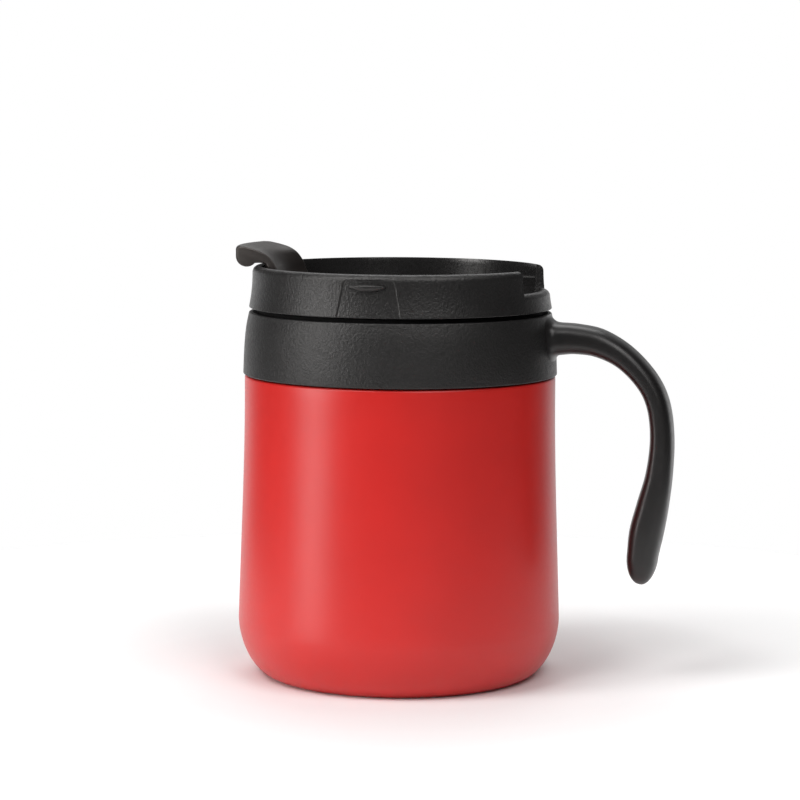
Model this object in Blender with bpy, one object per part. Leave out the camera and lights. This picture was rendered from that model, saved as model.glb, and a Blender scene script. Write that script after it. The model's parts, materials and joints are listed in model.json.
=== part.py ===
"""Insulated travel mug: a vacuum-walled steel cup with a moulded collar, a J-shaped side handle and a
push-fit drinking lid whose flap turns over from the drinking hole to the notch at the handle side.

Metres, +Z up. The origin is the middle of the underside, on the cup's axis. The handle points to +X,
and the closed flap lies over the rim at -X.
"""

import math

import bmesh
import bpy
from mathutils import Vector

GAP = 0.0003  # between pieces that touch
TURN_STEPS = 40  # sides of a large turned piece
SMALL_TURN_STEPS = 16  # sides of a pin, a screw or a small hole

# Painted outer shell
SHEET = 0.0006
FOOT_RADIUS = 0.0340
FOOT_HEIGHT = 0.0151
FOOT_POWER = 1.79
BODY_RADIUS = 0.0430
SHELL_TOP_RADIUS = 0.04135
SHELL_TAPER_END = 0.0760
SHELL_TOP = 0.0804
SHELL_EDGE_ROUND = 0.0007
NECK_RADIUS = 0.0386
NECK_TOP = 0.0937
FLANGE_RADIUS = 0.0315

# Base
RECESS_RADIUS = 0.0242
RECESS_DEPTH = 0.0015
COVER_THICKNESS = 0.0012
COVER_EDGE = 0.0005
SEAL_HOLE_RADIUS = 0.0020
BEAD_HEAD_RADIUS = 0.0030
BEAD_HEAD = 0.0014

# Inner vessel
CUP_RADIUS = 0.0366
CUP_FLOOR = 0.0080
CUP_CORNER = 0.0090
FOIL_BOTTOM = 0.0200
FOIL_TOP = 0.0780
FOIL_THICKNESS = 0.0002
GETTER_X = 0.0120
GETTER_RADIUS = 0.0050
GETTER_DEPTH = 0.0016
GETTER_WALL = 0.0006

# Collar
COLLAR_BOTTOM = SHELL_TOP + GAP
COLLAR_TOP = 0.0971
COLLAR_TOP_RADIUS = 0.0399
COLLAR_SEAT_RADIUS = 0.0379
COLLAR_SEAT_TOP = 0.0980
COLLAR_STEP = 0.0961
COLLAR_BORE = NECK_RADIUS + GAP
COLLAR_MOUTH = CUP_RADIUS + GAP
COLLAR_SIDE = (
    (0.04175, 0.08100),
    (0.04160, 0.08550),
    (0.04135, 0.08970),
    (0.04100, 0.09300),
    (0.04060, 0.09520),
    (0.04030, 0.09660),
)

# Handle: the middle line in the plane of X and Z, with half the thickness and half the width there
HANDLE_LINE = (
    (0.0390, 0.0909, 0.0052, 0.0080),
    (0.0430, 0.0909, 0.0044, 0.0071),
    (0.0475, 0.0909, 0.0039, 0.0065),
    (0.0535, 0.0899, 0.0036, 0.0064),
    (0.0602, 0.0864, 0.0031, 0.0063),
    (0.0661, 0.0804, 0.0029, 0.0063),
    (0.0692, 0.0740, 0.0029, 0.0063),
    (0.0703, 0.0655, 0.0030, 0.0064),
    (0.0697, 0.0560, 0.0034, 0.0065),
    (0.0681, 0.0475, 0.0041, 0.0067),
    (0.0666, 0.0405, 0.0044, 0.0068),
    (0.0656, 0.0340, 0.0040, 0.0066),
)
HANDLE_TIP = (0.0650, 0.0264)
HANDLE_POWER = 3.0
SCREW_HEIGHT = 0.0909
SCREW_OFFSET = 0.0033
SCREW_RADIUS = 0.0011
SCREW_HOLE_RADIUS = 0.0014
SCREW_HEAD_RADIUS = 0.0022
SCREW_SEAT_RADIUS = 0.0025
SCREW_HEAD = 0.0012
SCREW_START = 0.0389
SCREW_SEAT_END = 0.0404
SCREW_END = 0.0485
SCREW_POINT = 0.0010

# Lid
LID_BOTTOM = COLLAR_SEAT_TOP + GAP
LID_EDGE_RADIUS = 0.0402
LID_EDGE = 0.0004
LID_WAIST_RADIUS = 0.0397
LID_WAIST = 0.1026
RIM_RADIUS = 0.0393
RIM_TOP = 0.1093
RIM_ROUND = 0.0015
RIM_INNER_RADIUS = 0.0374
WELL_RADIUS = 0.0371
DECK = 0.1044
CHEEK_TOP = 0.1056
CHEEK_START = 0.0255
CHANNEL_FLOOR = 0.1000
CHANNEL_HALF_WIDTH = 0.0162
NOTCH_FLOOR = 0.1038
NOTCH_HALF_WIDTH = 0.0160
POCKET_RADIUS = 0.0356
POCKET_SIDE = 0.0182
POCKET_TOP = 0.1034
PLUG_RADIUS = 0.0358
PLUG_BOTTOM = 0.0882
PLUG_WALL = 0.0024
PLUG_EDGE = 0.0004
PLUG_CEILING = 0.0964
PLUG_STEP = 0.0967
GASKET_HALF_HEIGHT = 0.0015
GASKET_HEIGHT = 0.0915
GASKET_RADIUS = 0.0363
GASKET_GROOVE = 0.0012
GASKET_LIP = 0.0005
DRINK_HOLE_X = -0.0295
DRINK_HOLE_HALF = (0.0032, 0.0060)
VENT_X = -0.0120
VENT_RADIUS = 0.0017
GRIP_FACE = 0.0390
GRIP_TILT = math.radians(3.3)
GRIP_TOP = 0.1081
GRIP_LIP_HALF = (0.0052, 0.0014, 0.0010)
GRIP_LIP_HEIGHT = 0.1062

# Flap
HINGE_HEIGHT = 0.1025
BARREL_RADIUS = 0.0022
BARREL_HALF_LENGTH = 0.0157
PIN_RADIUS = 0.0010
PIN_BORE_RADIUS = 0.0011
PIN_START = 0.0080
PIN_END = 0.0192
FLAP_HALF_WIDTH = 0.0153
FLAP_TIP_HALF_WIDTH = 0.0133
ARM_BOTTOM = 0.1014
ARM_TOP = 0.1042
FLAP_TIP_RADIUS = 0.0437
FLAP_CROWN = 0.1145
FLAP_TIP_CORNER = 0.0008
FLAP_EDGE = 0.0005
HOOK_CENTRE = (0.0410, 0.1118)
HOOK_RADIUS = 0.0027
STRAIGHT_ARM = 0.0200
BENT_FROM = 0.0300
NARROWS_FROM = 0.0330
STEM_RADIUS = 0.0012
STEM_TOP = 0.1028


def clear_scene():
    for thing in list(bpy.data.objects):
        bpy.data.objects.remove(thing, do_unlink=True)


def plastic_or_metal(name, colour, roughness, metallic=0.0):
    material = bpy.data.materials.new(name)
    material.use_nodes = True
    shader = material.node_tree.nodes["Principled BSDF"]
    shader.inputs["Base Color"].default_value = (*colour, 1.0)
    shader.inputs["Roughness"].default_value = roughness
    shader.inputs["Metallic"].default_value = metallic
    material.diffuse_color = (*colour, 1.0)
    return material


def add_object(name, bm, material=None, sharp_angle=35.0):
    """An object from this mesh, with smooth shading and its faces pointing out."""
    bmesh.ops.recalc_face_normals(bm, faces=bm.faces)
    mesh = bpy.data.meshes.new(name)
    bm.to_mesh(mesh)
    bm.free()
    mesh.shade_smooth()
    mesh.set_sharp_from_angle(angle=math.radians(sharp_angle))
    if material:
        mesh.materials.append(material)
    thing = bpy.data.objects.new(name, mesh)
    bpy.context.collection.objects.link(thing)
    return thing


def turned_mesh(outline, steps):
    """The closed outline of (radius, height) points turned once round the Z axis."""
    bm = bmesh.new()
    corners = [bm.verts.new((radius, 0.0, height)) for radius, height in outline]
    edges = []
    for first, second in zip(corners, corners[1:] + corners[:1]):
        if first.co.x > 0.0 or second.co.x > 0.0:
            edges.append(bm.edges.new((first, second)))
    bmesh.ops.spin(
        bm,
        geom=corners + edges,
        axis=(0.0, 0.0, 1.0),
        cent=(0.0, 0.0, 0.0),
        angle=2 * math.pi,
        steps=steps,
        use_merge=True,
    )
    bmesh.ops.remove_doubles(bm, verts=bm.verts, dist=1e-7)
    return bm


def turned(name, outline, material=None, steps=TURN_STEPS):
    return add_object(name, turned_mesh(outline, steps), material)


def arc(centre, radius, start, end, steps):
    """Points round part of a circle, from one angle in degrees to another."""
    points = []
    for step in range(steps + 1):
        angle = math.radians(start + (end - start) * step / steps)
        points.append((centre[0] + radius * math.cos(angle), centre[1] + radius * math.sin(angle)))
    return points


def smooth_line(points, steps):
    """A Catmull-Rom curve through the points, with this many steps between two of them."""
    knots = [Vector(point) for point in points]
    knots = [2 * knots[0] - knots[1]] + knots + [2 * knots[-1] - knots[-2]]
    line = []
    for before, start, end, after in zip(knots, knots[1:], knots[2:], knots[3:]):
        for step in range(steps):
            t = step / steps
            line.append(
                0.5
                * (
                    2 * start
                    + (end - before) * t
                    + (2 * before - 5 * start + 4 * end - after) * t * t
                    + (3 * start - before - 3 * end + after) * t * t * t
                )
            )
    return line + [knots[-2]]


def rounded_loop(half_a, half_b, power, count):
    """Points round a superellipse: power 2 is an ellipse, and more is squarer."""
    points = []
    for step in range(count):
        angle = 2 * math.pi * (step + 0.5) / count
        cosine = math.cos(angle)
        sine = math.sin(angle)
        along = math.copysign(abs(cosine) ** (2 / power), cosine) * half_a
        across = math.copysign(abs(sine) ** (2 / power), sine) * half_b
        points.append((along, across))
    return points


def lofted_mesh(loops):
    """Closed loops of points joined one to the next, with a cap on each end."""
    bm = bmesh.new()
    rings = [[bm.verts.new(point) for point in loop] for loop in loops]
    for lower, upper in zip(rings, rings[1:]):
        for i in range(len(lower)):
            j = (i + 1) % len(lower)
            bm.faces.new((lower[i], lower[j], upper[j], upper[i]))
    bm.faces.new(rings[0][::-1])
    bm.faces.new(rings[-1])
    return bm


def stacked(name, levels, centre, material=None, power=4.0, count=24):
    """Superellipses stacked upwards: each level is (half of X, half of Y, height)."""
    loops = []
    for half_x, half_y, height in levels:
        outline = rounded_loop(half_x, half_y, power, count)
        loops.append([(centre[0] + x, centre[1] + y, height) for x, y in outline])
    return add_object(name, lofted_mesh(loops), material)


def rod(name, radius, start, end, material=None, steps=SMALL_TURN_STEPS):
    """A round bar from one point to another."""
    start = Vector(start)
    run = Vector(end) - start
    bm = bmesh.new()
    bmesh.ops.create_cone(
        bm, cap_ends=True, segments=steps, radius1=radius, radius2=radius, depth=run.length
    )
    thing = add_object(name, bm, material)
    thing.location = start + run / 2
    thing.rotation_euler = run.to_track_quat("Z", "Y").to_euler()
    return thing


def box(name, low, high):
    low = Vector(low)
    high = Vector(high)
    bm = bmesh.new()
    bmesh.ops.create_cube(bm, size=1.0)
    bmesh.ops.scale(bm, vec=high - low, verts=bm.verts)
    bmesh.ops.translate(bm, vec=(low + high) / 2, verts=bm.verts)
    return add_object(name, bm)


def boolean(thing, other, operation="DIFFERENCE"):
    """Cuts or joins with a helper object, which stays hidden."""
    other.hide_render = True
    other.display_type = "WIRE"
    modifier = thing.modifiers.new(f"{operation.title()} {other.name}", "BOOLEAN")
    modifier.operation = operation
    modifier.object = other


def shell_radius(height):
    """Radius of the painted shell above its foot: a taper that fades out below the collar."""
    rise = min(1.0, (height - FOOT_HEIGHT) / (SHELL_TAPER_END - FOOT_HEIGHT))
    return SHELL_TOP_RADIUS + (BODY_RADIUS - SHELL_TOP_RADIUS) * (1 - rise) * (1 - rise * rise)


def foot_curve(inset, steps):
    """The rounded foot from the underside to its full width, moved inwards by the inset."""
    points = []
    for step in range(steps + 1):
        angle = math.pi / 2 * step / steps
        reach = math.sin(angle) ** (2 / FOOT_POWER)
        rise = 1 - math.cos(angle) ** (2 / FOOT_POWER)
        radius = FOOT_RADIUS + (BODY_RADIUS - inset - FOOT_RADIUS) * reach
        points.append((radius, inset + (FOOT_HEIGHT - inset) * rise))
    return points


def make_outer_shell(paint):
    heights = (0.030, 0.046, 0.061, SHELL_TAPER_END)
    outside = foot_curve(0.0, 6) + [(shell_radius(height), height) for height in heights]
    inside = foot_curve(SHEET, 4) + [(shell_radius(height) - SHEET, height) for height in heights[::2]]
    edge = (SHELL_TOP_RADIUS - SHELL_EDGE_ROUND, SHELL_TOP - SHELL_EDGE_ROUND)
    outside += arc(edge, SHELL_EDGE_ROUND, 0, 90, 3)
    outside += [(NECK_RADIUS, SHELL_TOP), (NECK_RADIUS, NECK_TOP)]
    inside += [
        (SHELL_TOP_RADIUS - SHEET, SHELL_TOP - SHEET - SHELL_EDGE_ROUND),
        (edge[0], SHELL_TOP - SHEET),
        (NECK_RADIUS - SHEET, SHELL_TOP - SHEET),
        (NECK_RADIUS - SHEET, NECK_TOP),
    ]
    outline = [(FLANGE_RADIUS, 0.0)] + outside + inside[::-1] + [(FLANGE_RADIUS, SHEET)]
    turned("outer_shell", outline, paint)


def make_base(steel, solder):
    plate_radius = FLANGE_RADIUS - GAP
    plate_top = RECESS_DEPTH + SHEET
    turned(
        "outer_base",
        [
            (RECESS_RADIUS, 0.0),
            (plate_radius, 0.0),
            (plate_radius, SHEET),
            (RECESS_RADIUS + SHEET, SHEET),
            (RECESS_RADIUS + SHEET, plate_top),
            (SEAL_HOLE_RADIUS, plate_top),
            (SEAL_HOLE_RADIUS, RECESS_DEPTH),
            (RECESS_RADIUS, RECESS_DEPTH),
        ],
        steel,
    )
    cover_radius = RECESS_RADIUS - GAP
    turned(
        "base_cover",
        [
            (0.0, 0.0),
            (cover_radius - COVER_EDGE, 0.0),
            (cover_radius, COVER_EDGE),
            (cover_radius, COVER_THICKNESS),
            (0.0, COVER_THICKNESS),
        ],
        steel,
    )
    bead_radius = SEAL_HOLE_RADIUS - GAP
    turned(
        "vacuum_seal_bead",
        [
            (0.0, RECESS_DEPTH),
            (bead_radius, RECESS_DEPTH),
            (bead_radius, plate_top + GAP),
            (BEAD_HEAD_RADIUS, plate_top + GAP),
            (0.8 * BEAD_HEAD_RADIUS, plate_top + 0.7 * BEAD_HEAD),
            (0.0, plate_top + BEAD_HEAD),
        ],
        solder,
        SMALL_TURN_STEPS,
    )


def make_inner_vessel(steel):
    corner = (CUP_RADIUS - CUP_CORNER, CUP_FLOOR + CUP_CORNER)
    lip_top = NECK_TOP + GAP + SHEET
    outline = [(0.0, CUP_FLOOR - SHEET)]
    outline += arc(corner, CUP_CORNER + SHEET, -90, 0, 5)
    outline += [
        (CUP_RADIUS + SHEET, NECK_TOP + GAP),
        (NECK_RADIUS, NECK_TOP + GAP),
        (NECK_RADIUS, lip_top),
        (CUP_RADIUS + SHEET / 2, lip_top),
        (CUP_RADIUS, lip_top - SHEET / 2),
    ]
    outline += arc(corner, CUP_CORNER, 0, -90, 5)
    outline += [(0.0, CUP_FLOOR)]
    turned("inner_vessel", outline, steel)


def make_vacuum_fittings(foil, steel):
    inner = CUP_RADIUS + SHEET + GAP
    outer = inner + FOIL_THICKNESS
    sleeve = [(inner, FOIL_BOTTOM), (outer, FOIL_BOTTOM), (outer, FOIL_TOP), (inner, FOIL_TOP)]
    turned("reflector_foil", sleeve, foil)
    top = CUP_FLOOR - SHEET - GAP
    low = top - GETTER_DEPTH
    floor = low + GETTER_WALL
    tray = [(0.0, low), (0.9 * GETTER_RADIUS, low), (GETTER_RADIUS, top), (GETTER_RADIUS - GETTER_WALL, top)]
    tray += [(0.9 * GETTER_RADIUS - GETTER_WALL, floor), (0.0, floor)]
    getter = turned("getter", tray, steel, SMALL_TURN_STEPS)
    getter.location = (GETTER_X, 0.0, 0.0)


def screw_line(side, start, end):
    offset = side * SCREW_OFFSET
    return (start, offset, SCREW_HEIGHT), (end, offset, SCREW_HEIGHT)


def make_collar(plastic, silicone):
    outline = [(COLLAR_BORE, COLLAR_BOTTOM), (COLLAR_SIDE[0][0] - GAP, COLLAR_BOTTOM)]
    outline += list(COLLAR_SIDE)
    outline += [
        (COLLAR_TOP_RADIUS, COLLAR_TOP),
        (COLLAR_SEAT_RADIUS, COLLAR_TOP),
        (COLLAR_SEAT_RADIUS, COLLAR_SEAT_TOP),
        (COLLAR_MOUTH, COLLAR_SEAT_TOP),
        (COLLAR_MOUTH, COLLAR_STEP),
        (COLLAR_BORE, COLLAR_STEP),
    ]
    collar = turned("collar", outline, plastic)
    inside = COLLAR_MOUTH - 0.0010
    for side, end in ((-1, "front"), (1, "rear")):
        through_line = screw_line(side, inside, COLLAR_SIDE[0][0] + 0.0020)
        seat_line = screw_line(side, inside, SCREW_SEAT_END)
        boolean(collar, rod(f"screw_hole_{end}", SCREW_HOLE_RADIUS, *through_line))
        boolean(collar, rod(f"screw_seat_{end}", SCREW_SEAT_RADIUS, *seat_line))
    seal_low = NECK_TOP + GAP + SHEET + GAP
    seal_high = COLLAR_STEP - GAP
    seal = [(COLLAR_MOUTH, seal_low), (NECK_RADIUS, seal_low)]
    seal += [(NECK_RADIUS, seal_high), (COLLAR_MOUTH, seal_high)]
    turned("collar_seal", seal, silicone)


def make_handle(plastic, steel):
    line = smooth_line(HANDLE_LINE, 2)
    loops = []
    for i, point in enumerate(line):
        before = line[max(i - 1, 0)]
        after = line[min(i + 1, len(line) - 1)]
        along = Vector((after[0] - before[0], 0.0, after[1] - before[1])).normalized()
        normal = Vector((-along.z, 0.0, along.x))
        middle = Vector((point[0], 0.0, point[1]))
        outline = rounded_loop(point[2], point[3], HANDLE_POWER, 20)
        loops.append([middle + normal * a + Vector((0.0, b, 0.0)) for a, b in outline])
    tip_start = Vector((line[-1][0], 0.0, line[-1][1]))
    tip_run = Vector((HANDLE_TIP[0], 0.0, HANDLE_TIP[1])) - tip_start
    for step in range(1, 6):
        angle = math.pi / 2 * step / 6
        shrink = math.cos(angle)
        shift = tip_run * math.sin(angle)
        last = loops[len(line) - 1]
        loops.append([tip_start + shift + (point - tip_start) * shrink for point in last])
    handle = add_object("handle", lofted_mesh(loops), plastic)
    seat = [(radius + GAP, height) for radius, height in COLLAR_SIDE]
    low = COLLAR_BOTTOM - 0.0100
    high = COLLAR_TOP + 0.0030
    seat = [(0.0, low), (seat[0][0], low)] + seat + [(seat[-1][0], high), (0.0, high)]
    boolean(handle, turned("collar_clearance", seat))
    length = SCREW_END - SCREW_START
    for side, end in ((-1, "front"), (1, "rear")):
        pilot_line = screw_line(side, SCREW_START, SCREW_END + SCREW_POINT)
        boolean(handle, rod(f"screw_pilot_{end}", SCREW_RADIUS + 0.0002, *pilot_line))
        outline = [
            (0.0, 0.0),
            (SCREW_HEAD_RADIUS, 0.0),
            (SCREW_HEAD_RADIUS, SCREW_HEAD / 2),
            (SCREW_RADIUS, SCREW_HEAD),
            (SCREW_RADIUS, length - SCREW_POINT),
            (0.0, length),
        ]
        screw = turned(f"handle_screw_{end}", outline, steel, SMALL_TURN_STEPS)
        screw.location = (SCREW_START, side * SCREW_OFFSET, SCREW_HEIGHT)
        screw.rotation_euler = (0.0, math.pi / 2, 0.0)


def channel_loop(radius, half_width, height, steps=8):
    """A bar's outline between two straight sides, with ends that follow the round well."""
    reach = math.degrees(math.asin(half_width / radius))
    outline = arc((0.0, 0.0), radius, -reach, reach, steps)
    outline += arc((0.0, 0.0), radius, 180 - reach, 180 + reach, steps)
    return [(x, y, height) for x, y in outline]


def cheek_loop(side, height):
    """The raised part of the deck beside the notch, from the channel out into the rim's wall."""
    reach = (WELL_RADIUS + RIM_RADIUS) / 2
    inner = CHANNEL_HALF_WIDTH - 0.0010
    start = math.degrees(math.asin(inner / reach))
    end = math.degrees(math.acos(CHEEK_START / reach))
    points = [(CHEEK_START, inner)] + arc((0.0, 0.0), reach, start, end, 6)
    return [(x, side * y, height) for x, y in points]


def pocket_loop(side, height, steps=10):
    """Outline of the hollow under one deck: a circle's arc closed by a straight side."""
    reach = math.degrees(math.asin(POCKET_SIDE / POCKET_RADIUS))
    outline = arc((0.0, 0.0), POCKET_RADIUS, reach, 180 - reach, steps)
    return [(x, side * y, height) for x, y in outline[::side]]


def cut_drinking_holes(thing, low, high):
    half_x, half_y = DRINK_HOLE_HALF
    centre = (DRINK_HOLE_X, 0.0)
    levels = [(half_x, half_y, low), (half_x, half_y, high)]
    boolean(thing, stacked(f"{thing.name}_drink_hole", levels, centre))
    vent = rod(f"{thing.name}_vent", VENT_RADIUS, (VENT_X, 0.0, low), (VENT_X, 0.0, high))
    boolean(thing, vent)


def make_lid_body(plastic):
    rim_middle = RIM_TOP - RIM_ROUND
    outline = [(0.0, LID_BOTTOM), (LID_EDGE_RADIUS - LID_EDGE, LID_BOTTOM)]
    outline += [(LID_EDGE_RADIUS, LID_BOTTOM + LID_EDGE), (LID_WAIST_RADIUS, LID_WAIST)]
    outline += arc((RIM_RADIUS - RIM_ROUND, rim_middle), RIM_ROUND, 0, 90, 4)
    outline += [(RIM_INNER_RADIUS, RIM_TOP - 0.0002), (WELL_RADIUS, DECK), (0.0, DECK)]
    lid = turned("lid_body", outline, plastic)
    above = RIM_TOP + 0.0030
    for side, end in ((-1, "front"), (1, "rear")):
        cheek = lofted_mesh([cheek_loop(side, height) for height in (LID_BOTTOM + 0.0030, CHEEK_TOP)])
        boolean(lid, add_object(f"notch_cheek_{end}", cheek), "UNION")
    channel = lofted_mesh(
        [channel_loop(WELL_RADIUS, CHANNEL_HALF_WIDTH, height) for height in (CHANNEL_FLOOR, above)]
    )
    boolean(lid, add_object("lid_channel", channel))
    notch_low = (POCKET_RADIUS - 0.0030, -NOTCH_HALF_WIDTH, NOTCH_FLOOR)
    notch_high = (LID_EDGE_RADIUS + 0.0050, NOTCH_HALF_WIDTH, above)
    boolean(lid, box("rim_notch", notch_low, notch_high))
    below = LID_BOTTOM - 0.0010
    for side, end in ((-1, "front"), (1, "rear")):
        pocket = lofted_mesh([pocket_loop(side, height) for height in (below, POCKET_TOP)])
        boolean(lid, add_object(f"deck_pocket_{end}", pocket))
        facet = box(f"grip_facet_{end}", (-0.0100, 0.0, -0.0120), (0.0100, side * 0.0060, 0.0))
        facet.location = (0.0, side * GRIP_FACE, GRIP_TOP)
        facet.rotation_euler = (side * GRIP_TILT, 0.0, 0.0)
        boolean(lid, facet)
        lip = bmesh.new()
        bmesh.ops.create_uvsphere(lip, u_segments=12, v_segments=8, radius=1.0)
        bmesh.ops.scale(lip, vec=GRIP_LIP_HALF, verts=lip.verts)
        grip_lip = add_object(f"grip_lip_{end}", lip)
        grip_lip.location = (0.0, side * GRIP_FACE, GRIP_LIP_HEIGHT)
        boolean(lid, grip_lip, "UNION")
    cut_drinking_holes(lid, below, CHANNEL_FLOOR + 0.0010)
    bore_end = POCKET_SIDE + 0.0010
    bore = rod("lid_pin_bore", PIN_BORE_RADIUS, (0, -bore_end, HINGE_HEIGHT), (0, bore_end, HINGE_HEIGHT))
    boolean(lid, bore)


def make_lid_underside(plastic, silicone):
    groove_radius = PLUG_RADIUS - GASKET_GROOVE
    groove_low = GASKET_HEIGHT - GASKET_HALF_HEIGHT - GAP
    groove_high = GASKET_HEIGHT + GASKET_HALF_HEIGHT + GAP
    skirt_radius = PLUG_RADIUS - PLUG_WALL
    underside = turned(
        "lid_underside",
        [
            (0.0, PLUG_CEILING),
            (skirt_radius, PLUG_CEILING),
            (skirt_radius, PLUG_BOTTOM),
            (PLUG_RADIUS - PLUG_EDGE, PLUG_BOTTOM),
            (PLUG_RADIUS, PLUG_BOTTOM + PLUG_EDGE),
            (PLUG_RADIUS, groove_low),
            (groove_radius, groove_low),
            (groove_radius, groove_high),
            (PLUG_RADIUS, groove_high),
            (PLUG_RADIUS, PLUG_STEP),
            (GASKET_RADIUS, PLUG_STEP),
            (GASKET_RADIUS, COLLAR_SEAT_TOP),
            (0.0, COLLAR_SEAT_TOP),
        ],
        plastic,
    )
    cut_drinking_holes(underside, PLUG_CEILING - 0.0010, COLLAR_SEAT_TOP + 0.0010)
    inner = groove_radius + GAP
    middle = (inner + GASKET_RADIUS) / 2
    low = GASKET_HEIGHT - GASKET_HALF_HEIGHT
    high = GASKET_HEIGHT + GASKET_HALF_HEIGHT
    turned(
        "lid_gasket",
        [
            (inner, low),
            (middle, low),
            (GASKET_RADIUS, low + GASKET_LIP),
            (middle, GASKET_HEIGHT),
            (GASKET_RADIUS, high - GASKET_LIP),
            (middle, high),
            (inner, high),
        ],
        silicone,
    )


def flap_outline():
    """Side view of the flap as (distance from the hinge line, height): arm, riser, hooked tip and crown."""
    outline = [(0.0, ARM_BOTTOM), (0.0350, ARM_BOTTOM), (0.0359, ARM_BOTTOM + 0.0010)]
    outline += [(0.0360, 0.1092), (0.0363, 0.1099), (0.0369, 0.1102), (0.0387, 0.1102)]
    outline += arc(HOOK_CENTRE, HOOK_RADIUS, -130, 0, 6)
    corner = (FLAP_TIP_RADIUS - FLAP_TIP_CORNER, FLAP_CROWN - FLAP_TIP_CORNER)
    outline += arc(corner, FLAP_TIP_CORNER, 0, 90, 2)
    outline += [(0.0412, 0.1143), (0.0389, 0.1137), (0.0368, 0.1129), (0.0354, 0.1119), (0.0345, 0.1107)]
    outline += [(0.0336, 0.1090), (0.0330, 0.1070), (0.0322, 0.1054), (0.0312, 0.1046), (0.0298, ARM_TOP)]
    outline.append((0.0, ARM_TOP))
    return outline


def bent_back(distance, across):
    """The flap's riser and crown run round the mug's axis, and its arm runs straight."""
    bend = min(1.0, max(0.0, (distance - STRAIGHT_ARM) / (BENT_FROM - STRAIGHT_ARM)))
    round_the_axis = math.sqrt(max(distance, STRAIGHT_ARM) ** 2 - across**2)
    return -(distance - bend * (distance - round_the_axis))


def half_width(distance):
    """The flap is full width to its riser and narrows from there to its tip."""
    share = min(1.0, max(0.0, (distance - NARROWS_FROM) / (FLAP_TIP_RADIUS - NARROWS_FROM)))
    return FLAP_HALF_WIDTH + (FLAP_TIP_HALF_WIDTH - FLAP_HALF_WIDTH) * share


def make_flap(plastic, silicone, steel):
    loops = []
    stations = 8
    for step in range(stations + 1):
        loop = []
        for distance, height in flap_outline():
            across = half_width(distance) * (2 * step / stations - 1)
            loop.append((bent_back(distance, across), across, height))
        loops.append(loop)
    flap = add_object("flap", lofted_mesh(loops), plastic)
    edges = flap.modifiers.new("Rounded edges", "BEVEL")
    edges.width = FLAP_EDGE
    edges.segments = 2
    edges.limit_method = "ANGLE"
    edges.angle_limit = math.radians(60)
    barrel_end = (0.0, BARREL_HALF_LENGTH, HINGE_HEIGHT)
    barrel = rod("flap_barrel", BARREL_RADIUS, (0.0, -BARREL_HALF_LENGTH, HINGE_HEIGHT), barrel_end)
    boolean(flap, barrel, "UNION")
    bore = rod(
        "flap_pin_bore", PIN_BORE_RADIUS, (0.0, -0.0200, HINGE_HEIGHT), (0.0, 0.0200, HINGE_HEIGHT)
    )
    boolean(flap, bore)
    for name, x in (("stopper", DRINK_HOLE_X), ("vent", VENT_X)):
        socket = rod(f"{name}_socket", STEM_RADIUS + GAP, (x, 0, 0.1000), (x, 0, STEM_TOP + GAP), steps=24)
        boolean(flap, socket)
    nub_low = LID_BOTTOM + 0.0004
    pad_low = CHANNEL_FLOOR + GAP
    pad_high = ARM_BOTTOM - GAP
    stem = (STEM_RADIUS, STEM_RADIUS)
    stacked(
        "flap_stopper",
        [
            (0.0022, 0.0050, nub_low),
            (0.0026, 0.0054, pad_low),
            (0.0044, 0.0076, pad_low),
            (0.0044, 0.0076, pad_high),
            (*stem, pad_high),
            (*stem, STEM_TOP),
        ],
        (DRINK_HOLE_X, 0.0),
        silicone,
        power=3.0,
    )
    stacked(
        "flap_vent_plug",
        [
            (0.0007, 0.0007, LID_BOTTOM + 0.0008),
            (0.0009, 0.0009, pad_low),
            (0.0026, 0.0026, pad_low),
            (0.0026, 0.0026, pad_high),
            (*stem, pad_high),
            (*stem, STEM_TOP),
        ],
        (VENT_X, 0.0),
        silicone,
        power=2.0,
        count=SMALL_TURN_STEPS,
    )
    for side, end in ((-1, "front"), (1, "rear")):
        start = (0.0, side * PIN_START, HINGE_HEIGHT)
        rod(f"hinge_pin_{end}", PIN_RADIUS, start, (0.0, side * PIN_END, HINGE_HEIGHT), steel)


def main():
    clear_scene()
    paint = plastic_or_metal("red_paint", (0.56, 0.030, 0.022), 0.32)
    steel = plastic_or_metal("brushed_steel", (0.62, 0.61, 0.60), 0.30, 1.0)
    solder = plastic_or_metal("seal_glass", (0.30, 0.28, 0.25), 0.40)
    foil = plastic_or_metal("copper_foil", (0.80, 0.45, 0.32), 0.25, 1.0)
    grained = plastic_or_metal("grained_plastic", (0.030, 0.030, 0.031), 0.48)
    smooth = plastic_or_metal("handle_plastic", (0.022, 0.021, 0.021), 0.40)
    silicone = plastic_or_metal("silicone", (0.16, 0.16, 0.16), 0.60)
    inner_plastic = plastic_or_metal("inner_plastic", (0.045, 0.045, 0.046), 0.45)
    make_outer_shell(paint)
    make_base(steel, solder)
    make_inner_vessel(steel)
    make_vacuum_fittings(foil, steel)
    make_collar(grained, silicone)
    make_handle(smooth, steel)
    make_lid_body(grained)
    make_lid_underside(inner_plastic, silicone)
    make_flap(grained, silicone, steel)


main()
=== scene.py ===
"""The looks of the insulated travel mug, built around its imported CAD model."""

import json
import math

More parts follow.
